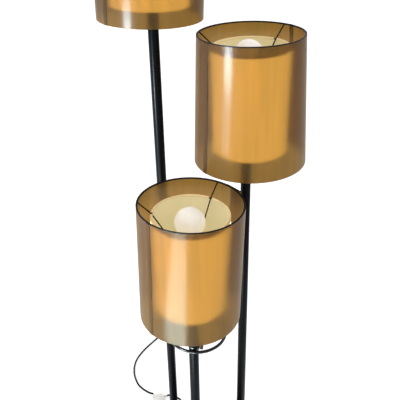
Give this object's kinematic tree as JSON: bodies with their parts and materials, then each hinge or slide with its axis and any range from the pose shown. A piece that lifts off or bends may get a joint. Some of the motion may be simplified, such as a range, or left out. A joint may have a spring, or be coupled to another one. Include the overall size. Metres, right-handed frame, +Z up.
{
  "type": "three-light floor lamp",
  "caption": "Floor lamp with black poles of stepped heights on a round foot, each with an opal globe in a cream cylinder inside a smoked film cylinder",
  "frame": {"origin": "on the floor, midway between the three poles", "axes": "+Z up along the poles, -Y towards the low pole, +X towards the middle pole's side"},
  "size_m": [0.5677, 0.9224, 1.6576],
  "materials": {
    "black_lacquer": "satin black lacquer",
    "black_wire": "satin black lacquer",
    "smoked_film": "glossy smoked brown film, seen through",
    "cream_card": "matt cream laminated card",
    "black_bakelite": "satin moulded",
    "brass_parts": "satin",
    "opal_glass": "glossy opal white",
    "cap_aluminium": "satin",
    "white_sheath": "matt sheath",
    "steel_parts": "zinc plated",
    "cast_weight": "rough primer grey",
    "black_felt": "felt",
    "white_plastic": "satin moulded",
    "cord_sheath": "satin black sheath",
    "black_gloss_bar": "glossy black lacquer",
    "brown_knob": "dark reddish brown, polished"
  },
  "bodies": {
    "lamp": {"low_pole": "black_lacquer", "low_spider": "black_wire", "low_film": "smoked_film", "low_inner_shade": "cream_card", "low_edge_wire": "black_wire", "low_holder_cap": "black_bakelite", "low_holder_insert": "brass_parts", "low_holder_skirt": "black_bakelite", "low_shade_ring": "black_bakelite", "low_bulb_glass": "opal_glass", "low_bulb_cap": "cap_aluminium", "low_lead": "white_sheath", "mid_pole": "black_lacquer", "mid_spider": "black_wire", "mid_film": "smoked_film", "mid_inner_shade": "cream_card", "mid_edge_wire": "black_wire", "mid_holder_cap": "black_bakelite", "mid_holder_insert": "brass_parts", "mid_holder_skirt": "black_bakelite", "mid_shade_ring": "black_bakelite", "mid_bulb_glass": "opal_glass", "mid_bulb_cap": "cap_aluminium", "mid_lead": "white_sheath", "high_pole": "black_lacquer", "high_spider": "black_wire", "high_film": "smoked_film", "high_inner_shade": "cream_card", "high_edge_wire": "black_wire", "high_holder_cap": "black_bakelite", "high_holder_insert": "brass_parts", "high_holder_skirt": "black_bakelite", "high_shade_ring": "black_bakelite", "high_bulb_glass": "opal_glass", "high_bulb_cap": "cap_aluminium", "high_lead": "white_sheath", "pole_caps": "steel_parts", "pole_plugs": "steel_parts", "threaded_nipples": "brass_parts", "foot_nuts": "brass_parts", "foot_washers": "steel_parts", "foot_cover": "black_lacquer", "foot_weight": "cast_weight", "foot_plate": "steel_parts", "foot_felt": "black_felt", "plate_screws": "steel_parts", "junction_box": "white_plastic", "cord_gland": "cord_sheath", "hoop": "black_gloss_bar", "cord_lamp": "cord_sheath", "cord_mains": "cord_sheath", "cord_coil": "cord_sheath", "switch_base": "white_plastic", "switch_top": "white_plastic", "switch_block": "white_plastic", "plug_body": "cord_sheath", "plug_pins": "brass_parts"},
    "button": {"switch_button": "white_plastic"},
    "knob": {"hoop_knob": "brown_knob"}
  },
  "joints": [
    {"name": "button_press", "type": "slide", "parent": "lamp", "child": "button", "axis": [0, 0, -1], "range_m": [0, 0.0025], "stiffness_N_per_m": 800, "springref_m": -0.002},
    {"name": "knob_turn", "type": "hinge", "parent": "lamp", "child": "knob", "pos_m": [0.0148, -0.1245, 0.569], "axis": [1, 0, 0], "range_deg": [0, 720]}
  ]
}
